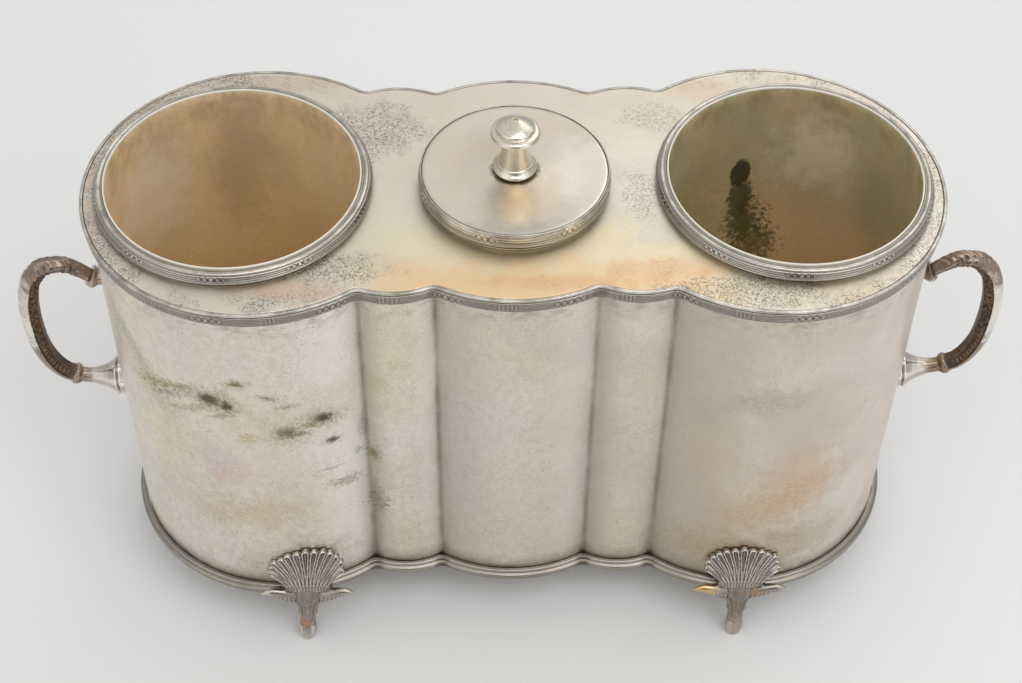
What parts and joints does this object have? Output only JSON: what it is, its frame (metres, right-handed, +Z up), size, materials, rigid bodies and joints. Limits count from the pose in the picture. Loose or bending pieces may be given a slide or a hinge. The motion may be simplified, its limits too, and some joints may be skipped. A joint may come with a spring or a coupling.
{
  "type": "double champagne cooler",
  "caption": "Silver-plated double bottle cooler with a lobed body, two round bottle wells, a lidded opening for ice, side handles and shell feet.",
  "frame": {"origin": "on the floor, under the middle of the overall box", "axes": "+X along the body towards the right handle, -Y the front, +Z up"},
  "size_m": [0.4696, 0.1744, 0.2753],
  "materials": {
    "silver": "silver plate over brass sheet, worn satin with pale tarnish",
    "moulding": "silver-plated moulded strip, dark in the recesses and bright on the edges",
    "well": "silver plate over brass with brown and golden tarnish",
    "casting": "silver-plated cast brass, dark patina with bright tips",
    "handle": "silver-plated cast brass, dark brown patina in the relief and bright outer face",
    "knob": "polished silver plate over turned brass",
    "brass": "bare turned brass, dulled"
  },
  "bodies": {
    "body": {"body_shell": "silver", "base_plate": "silver", "base_moulding": "moulding", "top_plate": "silver", "top_band": "moulding", "left_well_tube": "well", "left_well_rim": "moulding", "right_well_tube": "well", "right_well_rim": "moulding", "ice_collar": "moulding", "right_handle_bar": "handle", "right_handle_upper_ferrule": "handle", "right_handle_lower_socket": "handle", "left_handle_bar": "handle", "left_handle_upper_ferrule": "handle", "left_handle_lower_socket": "handle", "foot_front_left": "casting", "foot_back_left": "casting", "foot_front_right": "casting", "foot_back_right": "casting"},
    "lid": {"lid_sleeve": "silver", "lid_band": "moulding", "lid_plate": "silver", "knob_stem": "knob", "knob_cap": "knob", "knob_stud": "brass", "knob_nut": "brass"}
  },
  "joints": [
    {"name": "lid_lift", "type": "slide", "parent": "body", "child": "lid", "axis": [0, 0, 1], "range_m": [0, 0.06]}
  ]
}
